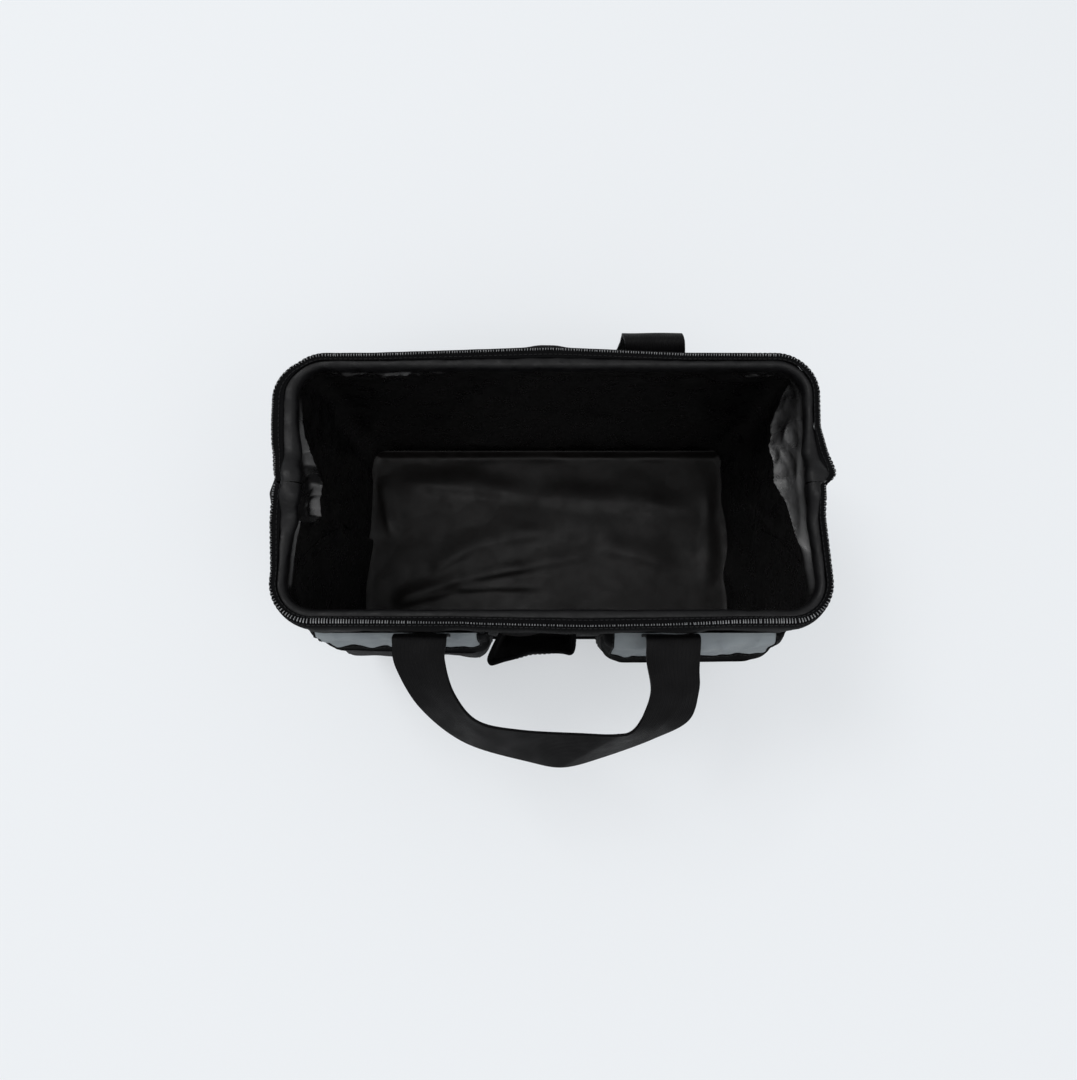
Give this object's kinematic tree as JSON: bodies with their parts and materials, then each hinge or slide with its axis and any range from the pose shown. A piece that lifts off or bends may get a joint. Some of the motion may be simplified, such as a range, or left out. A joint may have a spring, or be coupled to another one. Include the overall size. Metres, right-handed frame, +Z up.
{
  "type": "zippered tool bag",
  "caption": "Wide-mouth fabric tool bag, open, with a hinged wire-framed zip mouth, web carrying handles and front pockets, two under grey flaps.",
  "frame": {"origin": "centre of the base's underside, on the surface that the bag stands on", "axes": "+Z up, +X to the bag's right along its length, the pockets at the front towards -Y"},
  "size_m": [0.4287, 0.3671, 0.2365],
  "materials": {
    "outer_fabric": "woven black fabric",
    "lining_fabric": "black coated fabric, slightly glossy",
    "stiff_board": "matte stiff board",
    "frame_steel": "bright wire",
    "zip_tape": "fine woven black tape",
    "zip_teeth": "silver-grey coil",
    "zip_metal": "satin metal",
    "web": "ribbed black webbing",
    "flap_fabric": "woven grey fabric",
    "binding": "folded black edge tape"
  },
  "bodies": {
    "root": {"base_panel": "outer_fabric", "base_board": "stiff_board", "floor_lining": "lining_fabric", "left_end_panel": "outer_fabric", "right_end_panel": "outer_fabric", "left_end_gusset": "outer_fabric", "right_end_gusset": "outer_fabric", "left_end_lining": "lining_fabric", "right_end_lining": "lining_fabric"},
    "mouth_pivots": {"left_rivet": "frame_steel", "right_rivet": "frame_steel", "zip_tail": "zip_tape"},
    "front_mouth": {"front_frame": "frame_steel", "front_hem_sleeve": "outer_fabric", "front_zip_tape": "zip_tape", "front_zip_teeth": "zip_teeth"},
    "rear_mouth": {"rear_frame": "frame_steel", "rear_hem_sleeve": "outer_fabric", "rear_zip_tape": "zip_tape", "rear_zip_teeth": "zip_teeth"},
    "front_wall": {"front_panel": "outer_fabric", "front_lining": "lining_fabric", "front_left_anchor": "web", "front_right_anchor": "web", "left_pocket": "outer_fabric", "right_pocket": "outer_fabric", "centre_pocket": "outer_fabric", "centre_pocket_binding": "binding"},
    "rear_wall": {"rear_panel": "outer_fabric", "rear_lining": "lining_fabric", "rear_left_anchor": "web", "rear_right_anchor": "web"},
    "front_grip": {"front_handle": "web"},
    "rear_grip": {"rear_handle": "web"},
    "left_cover": {"left_flap": "flap_fabric", "left_flap_binding": "binding"},
    "right_cover": {"right_flap": "flap_fabric", "right_flap_binding": "binding"},
    "slider": {"zip_slider": "zip_metal"},
    "pull": {"zip_pull": "zip_metal"}
  },
  "joints": [
    {"name": "mouth_drop", "type": "slide", "parent": "root", "child": "mouth_pivots", "axis": [0, 0, -1], "range_m": [0, 0.1265], "deforming": ["left_end_gusset", "right_end_gusset", "left_end_lining", "right_end_lining"]},
    {"name": "front_frame_fold", "type": "hinge", "parent": "mouth_pivots", "child": "front_mouth", "pos_m": [0, 0, 0.232], "axis": [-1, 0, 0], "range_deg": [0, 90]},
    {"name": "rear_frame_fold", "type": "hinge", "parent": "mouth_pivots", "child": "rear_mouth", "pos_m": [0, 0, 0.232], "axis": [1, 0, 0], "range_deg": [0, 90]},
    {"name": "front_wall_lean", "type": "hinge", "parent": "root", "child": "front_wall", "pos_m": [0, -0.0965, 0.0023], "axis": [-1, 0, 0], "range_deg": [0, 23.5]},
    {"name": "rear_wall_lean", "type": "hinge", "parent": "root", "child": "rear_wall", "pos_m": [0, 0.0965, 0.0023], "axis": [1, 0, 0], "range_deg": [0, 23.5]},
    {"name": "front_handle_lift", "type": "hinge", "parent": "front_wall", "child": "front_grip", "pos_m": [0, -0.1126, 0.2138], "axis": [-1, 0, 0], "range_deg": [-6, 82]},
    {"name": "rear_handle_lift", "type": "hinge", "parent": "rear_wall", "child": "rear_grip", "pos_m": [0, 0.1215, 0.2146], "axis": [1, 0, 0], "range_deg": [-4, 156]},
    {"name": "left_flap_lift", "type": "hinge", "parent": "front_wall", "child": "left_cover", "pos_m": [0, -0.10539, 0.1768], "axis": [-1, 0, 0], "range_deg": [0, 70]},
    {"name": "right_flap_lift", "type": "hinge", "parent": "front_wall", "child": "right_cover", "pos_m": [0, -0.10539, 0.1768], "axis": [-1, 0, 0], "range_deg": [0, 70]},
    {"name": "slider_travel", "type": "slide", "parent": "mouth_pivots", "child": "slider", "axis": [0, 0, 1], "range_m": [0, 0.018]},
    {"name": "pull_swing", "type": "hinge", "parent": "slider", "child": "pull", "pos_m": [0.2094, 0, 0.18965], "axis": [1, 0, 0], "range_deg": [-80, 80]}
  ],
  "couplings": [
    {"joint": "rear_frame_fold", "follows": "front_frame_fold", "ratio": 1},
    {"joint": "mouth_drop", "follows": "front_frame_fold", "m_per_rad": 0.0802},
    {"joint": "front_wall_lean", "follows": "front_frame_fold", "ratio": 0.26},
    {"joint": "rear_wall_lean", "follows": "front_frame_fold", "ratio": 0.26}
  ]
}
